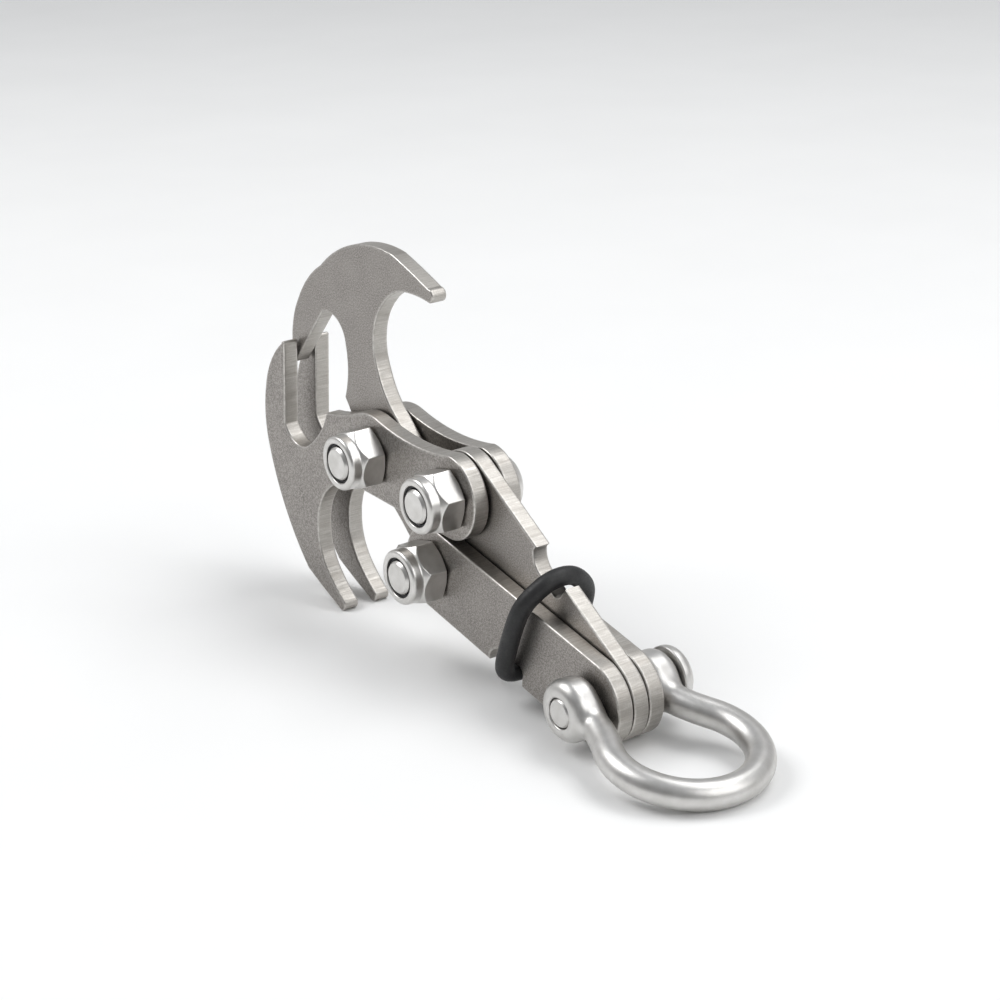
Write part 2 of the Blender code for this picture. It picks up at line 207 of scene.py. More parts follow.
def link_outline():
    """Link plate about the shackle pin: +x towards the claw, ring notch on the +y edge."""
    half = ARM_HALF
    return outline(
        (0.0, -half),
        (LINK, -half),
        ((LINK + half, 0.0), (LINK, half)),
        (26.0, half),
        (26.2, 6.6),
        ((24.8, 4.8), (22.6, NOTCH_FLOOR)),
        (18.2, NOTCH_FLOOR),
        ((17.3, 4.9), (17.1, 6.0)),
        (16.9, half),
        (0.0, half),
        ((-half, 0.0), (0.0, -half)),
    )


# ---------------------------------------------------------------- meshes

def make_object(name, points, faces, attributes=(), sharp=40):
    """Smooth-shaded object from points in millimetres, world axes."""
    builder = bmesh.new()
    verts = [builder.verts.new(Vector(p) * MM) for p in points]
    for face in faces:
        corners = list(dict.fromkeys(face))
        if len(corners) > 2:
            builder.faces.new([verts[i] for i in corners])
    bmesh.ops.recalc_face_normals(builder, faces=builder.faces)
    mesh = bpy.data.meshes.new(name)
    builder.to_mesh(mesh)
    builder.free()
    for label, values in attributes:
        mesh.attributes.new(label, 'FLOAT', 'POINT').data.foreach_set("value", np.array(values, np.float32))
    mesh.shade_smooth()
    mesh.set_sharp_from_angle(angle=radians(sharp))
    made = bpy.data.objects.new(name, mesh)
    bpy.context.scene.collection.objects.link(made)
    return made


def inset(points, amount):
    """Closed outline (inside on the left) moved in by amount.

    Points that a sharp corner swallows collapse onto it.
    """
    if amount == 0:
        return points.copy()
    before = points - np.roll(points, 1, axis=0)
    after = np.roll(points, -1, axis=0) - points
    before_len = np.linalg.norm(before, axis=1)
    after_len = np.linalg.norm(after, axis=1)
    before = before / before_len[:, None]
    after = after / after_len[:, None]
    left_before = np.stack([-before[:, 1], before[:, 0]], 1)
    left_after = np.stack([-after[:, 1], after[:, 0]], 1)
    share = 1 + (left_before * left_after).sum(1)
    moved = points + amount * (left_before + left_after) / np.maximum(share, 0.25)[:, None]
    turn = np.arctan2(before[:, 0] * after[:, 1] - before[:, 1] * after[:, 0], (before * after).sum(1))
    count = len(points)
    for i in np.nonzero(turn > radians(20))[0]:
        reach = amount * np.tan(turn[i] / 2)
        for step, lengths in ((1, after_len), (-1, before_len)):
            gone = 0.0
            j = i
            while True:
                gone += lengths[j]
                j = (j + step) % count
                if gone >= reach:
                    break
                moved[j] = moved[i]
    return moved


def rim_rows(low, high):
    """(inset, depth, wall, rim) for each row of vertices from one face of a plate to the other."""
    r = CORNER_R
    near = [(r + CORNER_BAND, 0.0, 0.0, 0.0), (r, 0.0, 0.0, 0.35), (r * 0.5, r * 0.134, 0.3, 1.0),
            (r * 0.134, r * 0.5, 0.7, 1.0), (0.0, r, 1.0, 0.35), (0.0, r + CORNER_BAND, 1.0, 0.0)]
    return [(i, low + d, w, e) for i, d, w, e in near] + \
        [(i, high - d, w, e) for i, d, w, e in near[::-1]]


def plate(name, local, holes, pivot, towards, flip, low, high):
    """Flat plate: an outline and round holes about a pivot, +x pointing at another pivot, rounded rims."""
    along = direction(towards - pivot)
    across = np.array([-along[1], along[0]]) * (-1 if flip else 1)
    loops = [local if signed_area(local) > 0 else local[::-1]]
    for (x, y), radius in holes:
        angles = -2 * pi * np.arange(HOLE_SIDES) / HOLE_SIDES
        loops.append(np.stack([x + radius * np.cos(angles), y + radius * np.sin(angles)], 1))
    rows = rim_rows(low, high)
    points, faces, wall, rim = [], [], [], []
    caps = {0: [], len(rows) - 1: []}
    for loop in loops:
        rings = []
        for number, (amount, depth, on_wall, on_rim) in enumerate(rows):
            flat = inset(loop, amount)
            ring = []
            for k, (x, y) in enumerate(flat):
                if k and np.allclose(flat[k - 1], (x, y), atol=1e-9):
                    ring.append(ring[-1])
                    continue
                if k == len(flat) - 1 and np.allclose(flat[0], (x, y), atol=1e-9):
                    ring.append(ring[0])
                    continue
                place = pivot + along * x + across * y
                ring.append(len(points))
                points.append((place[0], depth, place[1]))
                wall.append(on_wall)
                rim.append(on_rim)
            rings.append(ring)
            if number in caps:
                caps[number].append(list(dict.fromkeys(ring)))
        for below, above in zip(rings, rings[1:]):
            for k in range(len(loop)):
                j = (k + 1) % len(loop)
                faces.append((below[k], below[j], above[j], above[k]))
    for loops_of_cap in caps.values():
        flat = [[Vector((points[i][0], points[i][2], 0)) for i in ring] for ring in loops_of_cap]
        order = [i for ring in loops_of_cap for i in ring]
        faces += [tuple(order[i] for i in triangle) for triangle in tessellate_polygon(flat)]
    return make_object(name, points, faces, [("cut_edge", wall), ("rim_wear", rim)])


def signed_area(points):
    """Area inside a closed outline, positive if it runs anticlockwise."""
    x, y = points[:, 0], points[:, 1]
    return 0.5 * float(np.sum(x * np.roll(y, -1) - y * np.roll(x, -1)))


def columns(per_side=20):
    """Angles round a hexagonal part, closer together at its six corners."""
    t = np.linspace(-1, 1, per_side, endpoint=False)
    side = np.sign(t) * (1 - (1 - np.abs(t)) ** 1.7) * pi / 6
    return np.concatenate([side + k * pi / 3 for k in range(6)])


COLUMNS = columns()


def hexagon(flats, rounding):
    """Radius of a hexagon at each column, its corners eased over."""
    sides = [flats / 2 / np.maximum(np.cos(COLUMNS - k * pi / 3), 1e-3) for k in range(6)]
    sides = np.array([np.where(np.cos(COLUMNS - k * pi / 3) > 0.2, s, 1e3) for k, s in enumerate(sides)])
    return -rounding * np.log(np.exp(-sides / rounding).sum(0))


def turned(name, rows, centre, phase=0.0, closed=True):
    """Solid about the Y axis from rows of (radius or radii, y); a radius of 0 closes it on the axis."""
    points, faces, rings = [], [], []
    count = len(COLUMNS)
    for radius, y in rows:
        if np.isscalar(radius) and radius == 0:
            rings.append([len(points)] * count)
            points.append((centre[0], y, centre[1]))
            continue
        radii = np.broadcast_to(radius, (count,))
        rings.append(list(range(len(points), len(points) + count)))
        points += [(centre[0] + r * cos(a + phase), y, centre[1] + r * sin(a + phase))
                   for r, a in zip(radii, COLUMNS)]
    pairs = list(zip(rings, rings[1:] + rings[:1])) if closed else list(zip(rings, rings[1:]))
    for below, above in pairs:
        for k in range(count):
            j = (k + 1) % count
            faces.append((below[k], below[j], above[j], above[k]))
    return make_object(name, points, faces, sharp=50)


def rounded(corners):
    """Profile of (radius, height, rounding): each corner with a rounding becomes an arc of short steps."""
    rows = []
    count = len(corners)
    for i, (r, h, ease) in enumerate(corners):
        here = np.array([r, h])
        if ease == 0:
            rows.append((r, h))
            continue
        back = np.array(corners[i - 1][:2]) - here
        ahead = np.array(corners[(i + 1) % count][:2]) - here
        back, ahead = direction(back), direction(ahead)
        half = acos(max(-1.0, min(1.0, float(back @ ahead)))) / 2
        cut = ease / np.tan(half)
        middle = here + direction(back + ahead) * ease / sin(half)
        start, end = here + back * cut - middle, here + ahead * cut - middle
        first = atan2(start[1], start[0])
        turn = (atan2(end[1], end[0]) - first + pi) % (2 * pi) - pi
        steps = max(3, ceil(abs(turn) / radians(14)))
        rows += [(middle[0] + ease * cos(first + turn * k / steps),
                  middle[1] + ease * sin(first + turn * k / steps)) for k in range(steps + 1)]
    return rows


def filled(rows, step):
    """Profile rows with extra ones wherever two are more than a step apart."""
    made = []
    for (r0, h0), (r1, h1) in zip(rows, rows[1:]):
        parts = max(1, ceil(hypot(r1 - r0, h1 - h0) / step))
        made += [(r0 + (r1 - r0) * k / parts, h0 + (h1 - h0) * k / parts) for k in range(parts)]
    return made + [rows[-1]]


def lock_nut(name, centre, seat, phase):
    """Nylon-insert lock nut: chamfered hexagon under a round collar with a rolled lip."""
    corner = NUT_FLATS / sqrt(3)
    hexed = hexagon(NUT_FLATS, 0.05)
    base = filled([(HOLE_R + 0.4, 0.0), (NUT_FLATS / 2 - 0.3, 0.0), (corner + 0.15, 0.55)], 0.12)
    side = filled([(corner + 0.15, 0.55), (corner + 0.15, NUT_HEX_H - NUT_CHAMFER),
                   (COLLAR_R + 0.12, NUT_HEX_H - 0.02), (COLLAR_R - 0.02, NUT_HEX_H + 0.1)], 0.12)
    rows = [(np.minimum(r, hexed), h) for r, h in base + side[1:]]
    lip = rounded([(COLLAR_R - 0.02, NUT_HEX_H + 0.1, 0), (COLLAR_R - 0.04, NUT_H, 0.62),
                   (COLLAR_MOUTH_R, NUT_H, 0.22), (COLLAR_MOUTH_R, NUT_H - COLLAR_LIP, 0)])
    rows += filled(lip, 0.4)[1:]
    groove_in, groove_out = NUT_HEX_H - GAP, NUT_H - COLLAR_LIP
    rows += [(INSERT_R + GAP, groove_out), (INSERT_R + GAP, groove_in), (HOLE_R, groove_in),
             (HOLE_R, 0.4)]
    return turned(name, [(r, -seat - GAP - h) for r, h in rows], centre, phase)


def bolt(name, centre, seat, phase):
    """Button-head bolt: chamfered end on the near side, domed head with a socket on the far side."""
    end = -seat - BOLT_END
    head = seat + GAP
    top = head + HEAD_H
    socket = hexagon(SOCKET_FLATS, 0.04)
    rows = [(0, end), (BOLT_R * 0.5, end)]
    rows += rounded([(BOLT_R * 0.5, end, 0), (BOLT_R - 0.42, end, 0.12), (BOLT_R, end + 0.5, 0.15),
                     (BOLT_R, head, 0)])[1:]
    rim = HEAD_R - 0.02
    rows += rounded([(BOLT_R, head, 0), (rim, head, 0.3), (rim, head + 0.6, 0)])[1:-1]
    for k in range(DOME_STEPS + 1):
        a = k / DOME_STEPS * pi / 2
        rows.append((HEAD_FLAT_R + (rim - HEAD_FLAT_R) * cos(a), head + 0.55 + (HEAD_H - 0.55) * sin(a)))
    rows += [(socket + 0.15, top), (socket + 0.05, top - 0.02), (socket, top - 0.08),
             (socket, top - SOCKET_DEPTH), (socket * 0.97, top - SOCKET_DEPTH - 0.02),
             (0, top - SOCKET_DEPTH - 0.35)]
    return turned(name, rows, centre, phase, closed=False)


def collar_insert(name, centre, seat):
    """Nylon ring held in the nut's collar."""
    low = -seat - NUT_H + COLLAR_LIP
    high = -seat - NUT_HEX_H - GAP
    bore = BOLT_R + GAP
    rows = rounded([(bore, low, 0.2), (INSERT_R, low, 0.15), (INSERT_R, high, 0.15), (bore, high, 0.15)])
    return turned(name, rows, centre)


def washer(name, centre, low, high):
    """Thin flat washer with eased edges."""
    ease = (high - low) * 0.4
    rows = rounded([(HOLE_R, low, ease), (WASHER_R, low, ease),
                    (WASHER_R, high, ease), (HOLE_R, high, ease)])
    return turned(name, rows, centre)


def shackle_pin(name, centre):
    """Shackle pin: flush chamfered end on the near side, domed head on the far side."""
    rows = [(0, -EAR_OUT), (1.0, -EAR_OUT)]
    rows += rounded([(1.0, -EAR_OUT, 0), (PIN_R - 0.3, -EAR_OUT, 0.15), (PIN_R, -EAR_OUT + 0.35, 0.15),
                     (PIN_R, 0, 0)])[1:]
    dome = PIN_HEAD_IN + PIN_HEAD_EDGE
    rows += rounded([(PIN_R, PIN_HEAD_IN, 0), (PIN_HEAD_R, PIN_HEAD_IN, 0.3), (PIN_HEAD_R, dome, 0)])
    for k in range(1, DOME_STEPS):
        a = k / DOME_STEPS * pi / 2
        rows.append((PIN_HEAD_R * cos(a) ** 0.8, dome + (PIN_HEAD_OUT - dome) * sin(a)))
    rows.append((0, PIN_HEAD_OUT))
    return turned(name, rows, centre, closed=False)


# ---------------------------------------------------------------- shackle bow, as a blended solid

def leg_points():
    """Points along a leg's centre line, level with the ear at first and in line with the crown at last."""
    end = np.array([BOW_CENTRE + BOW_R * cos(BOW_SPREAD), BOW_R * sin(BOW_SPREAD)])
    bends = (np.array([0.0, EAR_Y]), np.array([LEG_START, EAR_Y]),
             end + LEG_END * np.array([-sin(BOW_SPREAD), cos(BOW_SPREAD)]), end)
    made = []
    for t in np.linspace(0, 1, 13):
        shares = ((1 - t) ** 3, 3 * t * (1 - t) ** 2, 3 * t * t * (1 - t), t ** 3)
        made.append(sum(share * bend for share, bend in zip(shares, bends)))
    return made


LEG = leg_points()


def smooth_min(a, b, k):
    """Smaller of two distances, blended over a width of k where they meet."""
    h = np.clip(0.5 + 0.5 * (b - a) / k, 0, 1)
    return b + (a - b) * h - k * h * (1 - h)


def smooth_max(a, b, k):
    return -smooth_min(-a, -b, k)


def bow_distance(u, v, w):
    """Signed distance to the bow: u from the pin towards the crown, v along the pin, w across the bow."""
    side = np.abs(v)
    crown = np.abs(np.hypot(u - BOW_CENTRE, side) - BOW_R)
    line = np.where(np.arctan2(side, u - BOW_CENTRE) <= BOW_SPREAD, crown, 1e3)
    for (u0, v0), (u1, v1) in zip(LEG, LEG[1:]):
        run, rise = u1 - u0, v1 - v0
        t = np.clip(((u - u0) * run + (side - v0) * rise) / (run * run + rise * rise), 0, 1)
        line = np.minimum(line, np.hypot(u - u0 - run * t, side - v0 - rise * t))
    bar = np.hypot(line, w) - BAR_R
    middle, half = (EAR_IN + EAR_OUT) / 2, (EAR_OUT - EAR_IN) / 2
    out = np.hypot(u, w) - (EAR_R - EAR_EASE)
    deep = np.abs(side - middle) - (half - EAR_EASE)
    beyond = np.hypot(np.maximum(out, 0), np.maximum(deep, 0))
    ear = np.minimum(np.maximum(out, deep), 0) + beyond - EAR_EASE
    solid = smooth_min(bar, ear, 1.6)
    jaw = EAR_IN - side - np.maximum(u - BAR_R, 0)
    solid = smooth_max(solid, jaw, 0.35)
    return smooth_max(solid, PIN_HOLE_R - np.hypot(u, w), 0.3)


def surface_net(distance, low, high, cell):
    """Quad mesh of a signed distance's zero surface, its points drawn onto the surface."""
    axes = [np.arange(a, b + cell, cell) for a, b in zip(low, high)]
    grid = np.meshgrid(*axes, indexing='ij')
    value = distance(*grid)
    inside = value < 0
    count = np.zeros([len(a) - 1 for a in axes], int)
    total = np.zeros([len(a) - 1 for a in axes] + [3])

    def cut(axis):
        a = [slice(None)] * 3
        b = [slice(None)] * 3
        a[axis], b[axis] = slice(None, -1), slice(1, None)
        return tuple(a), tuple(b)

    crossings = []
    for axis in range(3):
        a, b = cut(axis)
        crosses = inside[a] != inside[b]
        index = np.argwhere(crosses)
        va, vb = value[a][crosses], value[b][crosses]
        place = index.astype(float)
        place[:, axis] += va / (va - vb)
        crossings.append((index, inside[a][crosses]))
        others = [k for k in range(3) if k != axis]
        for da in (0, -1):
            for db in (0, -1):
                cube = index.copy()
                cube[:, others[0]] += da
                cube[:, others[1]] += db
                good = ((cube >= 0) & (cube < np.array(count.shape))).all(1)
                np.add.at(count, tuple(cube[good].T), 1)
                np.add.at(total, tuple(cube[good].T), place[good])
    used = np.argwhere(count > 0)
    number = -np.ones(count.shape, int)
    number[tuple(used.T)] = np.arange(len(used))
    points = np.array(low) + cell * total[tuple(used.T)] / count[tuple(used.T)][:, None]
    faces = []
    for axis in range(3):
        index, starts_in = crossings[axis]
        p, q = [k for k in range(3) if k != axis]
        ring = []
        for dp, dq in ((0, 0), (-1, 0), (-1, -1), (0, -1)):
            cube = index.copy()
            cube[:, p] += dp
            cube[:, q] += dq
            ring.append(number[tuple(cube.T)])
        quad = np.stack(ring, 1)
        flip = starts_in if axis != 1 else ~starts_in
        quad[flip] = quad[flip][:, ::-1]
        faces.append(quad)
    small = 0.02
    for _ in range(3):
        d = distance(*points.T)
        slope = np.stack([(distance(*(points + small * np.eye(3)[k]).T)
                           - distance(*(points - small * np.eye(3)[k]).T)) / (2 * small)
                          for k in range(3)], 1)
        size = np.maximum((slope ** 2).sum(1), 0.2)
        points = points - (d / size)[:, None] * slope
    return points, np.concatenate(faces)


def shackle_bow(name):
    """Bow with its ears, hanging from the pin at the slope that its CAD box gives."""
    spare = 0.6
    low = (-EAR_R - spare, -BOW_R - BAR_R - spare, -EAR_R - spare)
    high = (BOW_CENTRE + BOW_R + BAR_R + spare, BOW_R + BAR_R + spare, EAR_R + spare)
    local, quads = surface_net(bow_distance, low, high, BOW_CELL)
    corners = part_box("shackle_bow")
    reach = BOW_CENTRE + BOW_R
    drop = SHACKLE[1] - BAR_R - corners[0].z / MM
    along = np.array([sqrt(reach * reach - drop * drop), -drop]) / reach
    across = np.array([-along[1], along[0]])
    points = np.empty_like(local)
    points[:, 0] = SHACKLE[0] + along[0] * local[:, 0] + across[0] * local[:, 2]
    points[:, 1] = local[:, 1]
    points[:, 2] = SHACKLE[1] + along[1] * local[:, 0] + across[1] * local[:, 2]
    return make_object(name, points, [tuple(int(i) for i in quad) for quad in quads], sharp=180)


# ---------------------------------------------------------------- ring

def ring_path():
    """Centre line of the ring round the notched plates, as (depth along Y, height across the axis)."""
    sine, cosine = sin(LINK_ANGLE), cos(LINK_ANGLE)
    along = RING_FROM_PIN / cosine
    tilt_rise = RING_R * sine / cosine
    floor = along * sine + NOTCH_FLOOR * cosine + tilt_rise
    shoulder = ARM_HALF / cosine - RING_FROM_PIN * sine / cosine + tilt_rise
    cheek = LINK_CHEEK + PLATE
    corners = [(cheek, -floor), (cheek, shoulder), (MIDDLE_FACE, floor),
               (-MIDDLE_FACE, floor), (-cheek, shoulder), (-cheek, -floor)]
    offset = RING_R + RING_CLEAR
    path = []
    for i, (y, w) in enumerate(corners):
        before, after = corners[i - 1], corners[(i + 1) % len(corners)]
        start = atan2(-(y - before[0]), w - before[1])
        turn = (atan2(-(after[0] - y), after[1] - w) - start) % (2 * pi)
        steps = max(3, ceil(turn * offset / RING_STEP))
        arc = [(y + offset * cos(start + turn * k / steps), w + offset * sin(start + turn * k / steps))
               for k in range(steps + 1)]
        if path:
            path += gap_points(path[-1], arc[0])
        path += arc
    path = np.array(path + gap_points(path[-1], path[0]))
    for _ in range(RING_EASE):
        path = path * 0.5 + (np.roll(path, 1, axis=0) + np.roll(path, -1, axis=0)) * 0.25
    lacking = max(offset - min(np.hypot(*(path - corner).T)) for corner in corners)
    centre = path.mean(0)
    return path + lacking * 1.15 * (path - centre) / np.hypot(*(path - centre).T)[:, None]


def gap_points(a, b):
    """Points strictly between two others, about a ring step apart."""
    parts = max(1, ceil(hypot(b[0] - a[0], b[1] - a[1]) / RING_STEP))
    return [(a[0] + (b[0] - a[0]) * k / parts, a[1] + (b[1] - a[1]) * k / parts) for k in range(1, parts)]


def lock_ring(name):
    """Round rubber ring along its path, square to the linkage's axis."""
    path = ring_path()
    ahead = np.roll(path, -1, axis=0) - np.roll(path, 1, axis=0)
    ahead /= np.linalg.norm(ahead, axis=1)[:, None]
    outward = np.stack([ahead[:, 1], -ahead[:, 0]], 1)
    sides = RING_SIDES
    points, faces = [], []
    middle = SHACKLE - AXIS * RING_FROM_PIN
    for (y, w), (oy, ow) in zip(path, outward):
        for k in range(sides):
            a = 2 * pi * k / sides
            out, along = RING_R * cos(a), RING_R * sin(a)
            spot = middle + ACROSS * (w + ow * out) + AXIS * along
            points.append((spot[0], y + oy * out, spot[1]))
    count = len(path)
    for i in range(count):
        j = (i + 1) % count
        for k in range(sides):
            m = (k + 1) % sides
            faces.append((i * sides + k, i * sides + m, j * sides + m, j * sides + k))
    return make_object(name, points, faces, sharp=180)


# ---------------------------------------------------------------- materials

def node(tree, kind, inputs=None, **settings):
    made = tree.nodes.new(kind)
    for key, value in settings.items():
        setattr(made, key, value)
    for key, value in (inputs or {}).items():
        if isinstance(value, bpy.types.NodeSocket):
            tree.links.new(value, made.inputs[key])
        else:
            made.inputs[key].default_value = value
    return made


def new_material(name):
    """Material, its tree, its shader and the object's coordinates in millimetres."""
    made = bpy.data.materials.new(name)
    made.use_nodes = True
    tree = made.node_tree
    place = node(tree, "ShaderNodeTexCoord").outputs["Object"]
    scaled = node(tree, "ShaderNodeVectorMath", {0: place, "Scale": 1 / MM}, operation='SCALE')
    return made, tree, tree.nodes["Principled BSDF"], scaled.outputs[0]


def noise(tree, place, scale, detail, rough, stretch=None):
    if stretch is not None:
        place = node(tree, "ShaderNodeVectorMath", {0: place, 1: stretch}, operation='MULTIPLY').outputs[0]
    return node(tree, "ShaderNodeTexNoise", {"Vector": place, "Scale": scale, "Detail": detail,
                                             "Roughness": rough}).outputs["Fac"]


def remap(tree, value, low, high, to_low, to_high):
    return node(tree, "ShaderNodeMapRange", {"Value": value, "From Min": low, "From Max": high,
                                             "To Min": to_low, "To Max": to_high}).outputs[0]


def mix_colour(tree, factor, first, second):
    return node(tree, "ShaderNodeMix", {0: factor, 6: first, 7: second}, data_type='RGBA').outputs[2]


def mix_value(tree, factor, first, second):
    return node(tree, "ShaderNodeMix", {0: factor, 2: first, 3: second}, data_type='FLOAT').outputs[0]


def math_node(tree, operation, first, second):
    return node(tree, "ShaderNodeMath", {0: first, 1: second}, operation=operation).outputs[0]


def attribute(tree, name):
    return node(tree, "ShaderNodeAttribute", attribute_name=name).outputs["Fac"]


def bump(tree, height, depth_mm, normal=None):
    inputs = {"Height": height, "Distance": depth_mm * MM, "Strength": 1.0}
    if normal is not None:
        inputs["Normal"] = normal
    return node(tree, "ShaderNodeBump", inputs).outputs[0]


def plate_material(name):
    """Tumbled stainless plate: mottled satin faces, striated cut edges, rims worn bright."""
    made, tree, shader, place = new_material(name)
    grain = noise(tree, place, 4.0, 3.0, 0.65)
    speck = noise(tree, place, 1.6, 2.0, 0.5)
    mottle = noise(tree, place, 0.22, 4.0, 0.55)
    striae = noise(tree, place, 4.2, 2.0, 0.55, (1.0, 0.05, 1.0))
    band = noise(tree, place, 0.35, 1.0, 0.5, (1.0, 0.25, 1.0))
    wall = attribute(tree, "cut_edge")
    rim = attribute(tree, "rim_wear")

    face_dark = (0.215, 0.200, 0.187, 1)
    face_light = (0.275, 0.257, 0.241, 1)
    face_speck = (0.43, 0.405, 0.382, 1)
    face = mix_colour(tree, remap(tree, mottle, 0.3, 0.7, 0, 1), face_dark, face_light)
    face = mix_colour(tree, remap(tree, grain, 0.40, 0.62, 0, 0.9), face, face_speck)
    cut_dark = (0.43, 0.41, 0.38, 1)
    cut_light = (0.56, 0.54, 0.51, 1)
    cut_speck = (0.33, 0.31, 0.285, 1)
    cut_band = (0.30, 0.27, 0.24, 1)
    worn_bright = (0.62, 0.60, 0.57, 1)
    edge = mix_colour(tree, remap(tree, striae, 0.3, 0.7, 0, 1), cut_dark, cut_light)
    edge = mix_colour(tree, remap(tree, grain, 0.34, 0.66, 0.4, 0), edge, cut_speck)
    edge = mix_colour(tree, remap(tree, band, 0.52, 0.66, 0, 0.3), edge, cut_band)
    colour = mix_colour(tree, wall, face, edge)
    worn = math_node(tree, 'MULTIPLY', rim, remap(tree, speck, 0.35, 0.6, 0.35, 0.95))
    colour = mix_colour(tree, worn, colour, worn_bright)
    tree.links.new(colour, shader.inputs["Base Color"])

    face_rough = remap(tree, grain, 0.3, 0.7, 0.50, 0.36)
    edge_rough = remap(tree, striae, 0.3, 0.7, 0.5, 0.34)
    rough = mix_value(tree, worn, mix_value(tree, wall, face_rough, edge_rough), 0.27)
    tree.links.new(rough, shader.inputs["Roughness"])
    shader.inputs["Metallic"].default_value = 1.0
    fine = bump(tree, grain, 0.012)
    coarse = bump(tree, speck, 0.012, fine)
    cut = bump(tree, math_node(tree, 'MULTIPLY', striae, wall), 0.02, coarse)
    tree.links.new(cut, shader.inputs["Normal"])
    return made


def steel_material(name, dark, light, rough_low, rough_high, lay, grain_mm):
    """Polished or satin steel with a faint lay of fine scratches; lay stretches the pattern per axis."""
    pit_dark = (0.30, 0.28, 0.26, 1)
    made, tree, shader, place = new_material(name)
    lines = noise(tree, place, 3.0, 3.0, 0.6, lay)
    cloud = noise(tree, place, 0.45, 3.0, 0.5)
    pits = noise(tree, place, 5.5, 2.0, 0.5)
    colour = mix_colour(tree, remap(tree, cloud, 0.3, 0.7, 0, 1), dark, light)
    colour = mix_colour(tree, remap(tree, pits, 0.64, 0.78, 0, 0.2), colour, pit_dark)
    tree.links.new(colour, shader.inputs["Base Color"])
    rough = mix_value(tree, remap(tree, lines, 0.3, 0.7, 0, 1), rough_low, rough_high)
    tree.links.new(rough, shader.inputs["Roughness"])
    shader.inputs["Metallic"].default_value = 1.0
    first = bump(tree, lines, grain_mm)
    tree.links.new(bump(tree, pits, grain_mm * 0.8, first), shader.inputs["Normal"])
    return made


def rubber_material(name):
    """Charcoal rubber: matte, faintly grained and dusty."""
    dark, dusty = (0.008, 0.008, 0.009, 1), (0.024, 0.024, 0.023, 1)
    made, tree, shader, place = new_material(name)
    grain = noise(tree, place, 3.5, 3.0, 0.6)
    dust = noise(tree, place, 0.5, 3.0, 0.6)
    colour = mix_colour(tree, remap(tree, dust, 0.4, 0.75, 0, 0.7), dark, dusty)
    tree.links.new(colour, shader.inputs["Base Color"])
    tree.links.new(remap(tree, grain, 0.3, 0.7, 0.42, 0.62), shader.inputs["Roughness"])
    tree.links.new(bump(tree, grain, 0.012), shader.inputs["Normal"])
    return made


def nylon_material(name):
    """Nylon of the lock nut's insert: a faint bluish tone, with the shade of the collar's recess painted
    into it as a near-black colour.
    """
    # Both tones are near-black: painted shade of the recess in the collar, over the insert's own bluish
    # tint.
    dark, light = (0.016, 0.017, 0.020, 1), (0.045, 0.047, 0.052, 1)
    made, tree, shader, place = new_material(name)
    cloud = noise(tree, place, 1.2, 3.0, 0.6)
    grain = noise(tree, place, 6.0, 2.0, 0.5)
    colour = mix_colour(tree, remap(tree, cloud, 0.3, 0.7, 0, 1), dark, light)
    tree.links.new(colour, shader.inputs["Base Color"])
    tree.links.new(remap(tree, grain, 0.3, 0.7, 0.4, 0.6), shader.inputs["Roughness"])
    tree.links.new(bump(tree, grain, 0.01), shader.inputs["Normal"])
    return made


def floor_material(name):
    """Pale matte floor with the faintest clouding."""
    made, tree, shader, place = new_material(name)
    cloud = noise(tree, place, 0.02, 2.0, 0.5)
    colour = mix_colour(tree, cloud, (0.90, 0.90, 0.895, 1), (0.94, 0.94, 0.935, 1))
    tree.links.new(colour, shader.inputs["Base Color"])
    shader.inputs["Roughness"].default_value = 0.85
    shader.inputs["Specular IOR Level"].default_value = 0.1
    return made


# ---------------------------------------------------------------- assembly

PLATE_STEEL = plate_material("tumbled_plate_steel")
FASTENER = steel_material("polished_fastener_steel",
                          (0.60, 0.588, 0.565, 1), (0.72, 0.708, 0.69, 1),
                          0.28, 0.38, (1.0, 1.0, 1.0), 0.0006)
WASHER_STEEL = steel_material("washer_steel_satin",
                              (0.50, 0.49, 0.47, 1), (0.62, 0.61, 0.59, 1),
                              0.28, 0.42, (1.0, 0.2, 1.0), 0.006)
SHACKLE_STEEL = steel_material("satin_polished_shackle_steel",
                               (0.57, 0.56, 0.54, 1), (0.66, 0.65, 0.635, 1),
                               0.34, 0.42, (0.35, 1.0, 1.0), 0.0008)
RUBBER = rubber_material("charcoal_rubber")
# The insert's near-black colour is painted shade of the collar's recess.
NYLON = nylon_material("nylon_with_painted_shade")


def add(piece, node_name, body, surface):
    """Gives a piece its material and slot, puts it in the place of a CAD node, and lets it ride."""
    piece.data.materials.append(surface)
    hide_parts(node_name)
    if body is not None:
        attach(piece, body)
    return piece


def add_plates():
    """Three claw plates and three link plates; the middle ones make the upper claw and the upper link."""
    upper_claw = claw_outline((-29.35, 21.95))
    lower_claw = claw_outline((-28.4, 21.2))
    claw_holes = [((0, 0), HOLE_R), ((ARM, 0), HOLE_R)]
    add(plate("claw_middle", upper_claw, claw_holes, MAIN, LOWER, False, -MIDDLE_FACE, MIDDLE_FACE),
        "claw_plate_middle", "upper_jaw", PLATE_STEEL)
    links = link_outline()
    for side, sign in (("near", -1), ("far", 1)):
        claw = sorted((sign * CLAW_CHEEK, sign * (CLAW_CHEEK + PLATE)))
        add(plate(f"claw_{side}", lower_claw, claw_holes, MAIN, UPPER, True, *claw),
            f"claw_plate_{side}", "lower_jaw", PLATE_STEEL)
        cheek = sorted((sign * LINK_CHEEK, sign * (LINK_CHEEK + PLATE)))
        add(plate(f"link_{side}", links, [((0, 0), PIN_HOLE_R), ((LINK, 0), HOLE_R)],
                  SHACKLE, LOWER, False, *cheek),
            f"link_plate_{side}", "lower_link", PLATE_STEEL)
    add(plate("link_middle", links, [((0, 0), PIN_HOLE_R), ((LINK, 0), OPEN_HOLE_R)],
              SHACKLE, UPPER, True, -MIDDLE_FACE, MIDDLE_FACE),
        "link_plate_middle", "upper_link", PLATE_STEEL)


